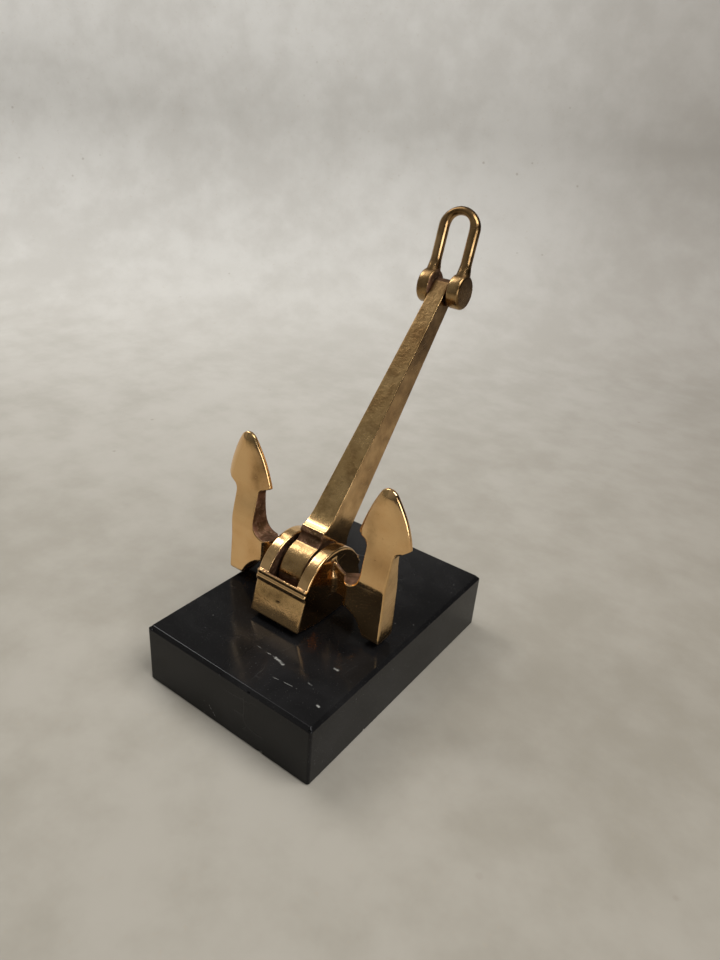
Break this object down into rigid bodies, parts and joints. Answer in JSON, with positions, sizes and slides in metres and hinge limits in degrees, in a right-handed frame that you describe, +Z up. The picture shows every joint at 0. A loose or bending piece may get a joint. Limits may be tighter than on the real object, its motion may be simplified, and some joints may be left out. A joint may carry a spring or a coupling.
{
  "type": "polished brass stockless anchor ornament on a black marble plinth",
  "caption": "Desk ornament: a polished cast brass stockless anchor with a leaning, hinged shank and a shackle, screwed to a black marble plinth.",
  "frame": {"origin": "centre of the plinth's underside, where it rests on the table", "axes": "+Z up; +X along the plinth's short side, to the right seen from the front; +Y along its long side, to the back, the way the shank leans"},
  "size_m": [0.0683, 0.1073, 0.1339],
  "materials": {
    "polished_brass": "polished casting with fine scratches, dull and brown where the polish did not reach",
    "dull_brass": "unpolished, brown",
    "steel": "plain turned steel",
    "marble": "polished black marble with pale specks and thin veins"
  },
  "bodies": {
    "stand": {"marble_base": "marble", "base_screw_front": "steel", "base_screw_rear": "steel", "base_washer_front": "steel", "base_washer_rear": "steel", "anchor_head": "polished_brass", "keeper_block": "dull_brass", "crown_pin": "dull_brass"},
    "shank": {"shank": "polished_brass"},
    "shackle": {"shackle_bow": "polished_brass", "shackle_pin": "dull_brass"}
  },
  "joints": [
    {"name": "shank_tilt", "type": "hinge", "parent": "stand", "child": "shank", "pos_m": [-0.0033, -0.0055, 0.033], "axis": [1, 0, 0], "range_deg": [0, 76]},
    {"name": "shackle_swing", "type": "hinge", "parent": "shank", "child": "shackle", "pos_m": [-0.0033, 0.05462, 0.10912], "axis": [1, 0, 0], "range_deg": [-173, 126]}
  ]
}
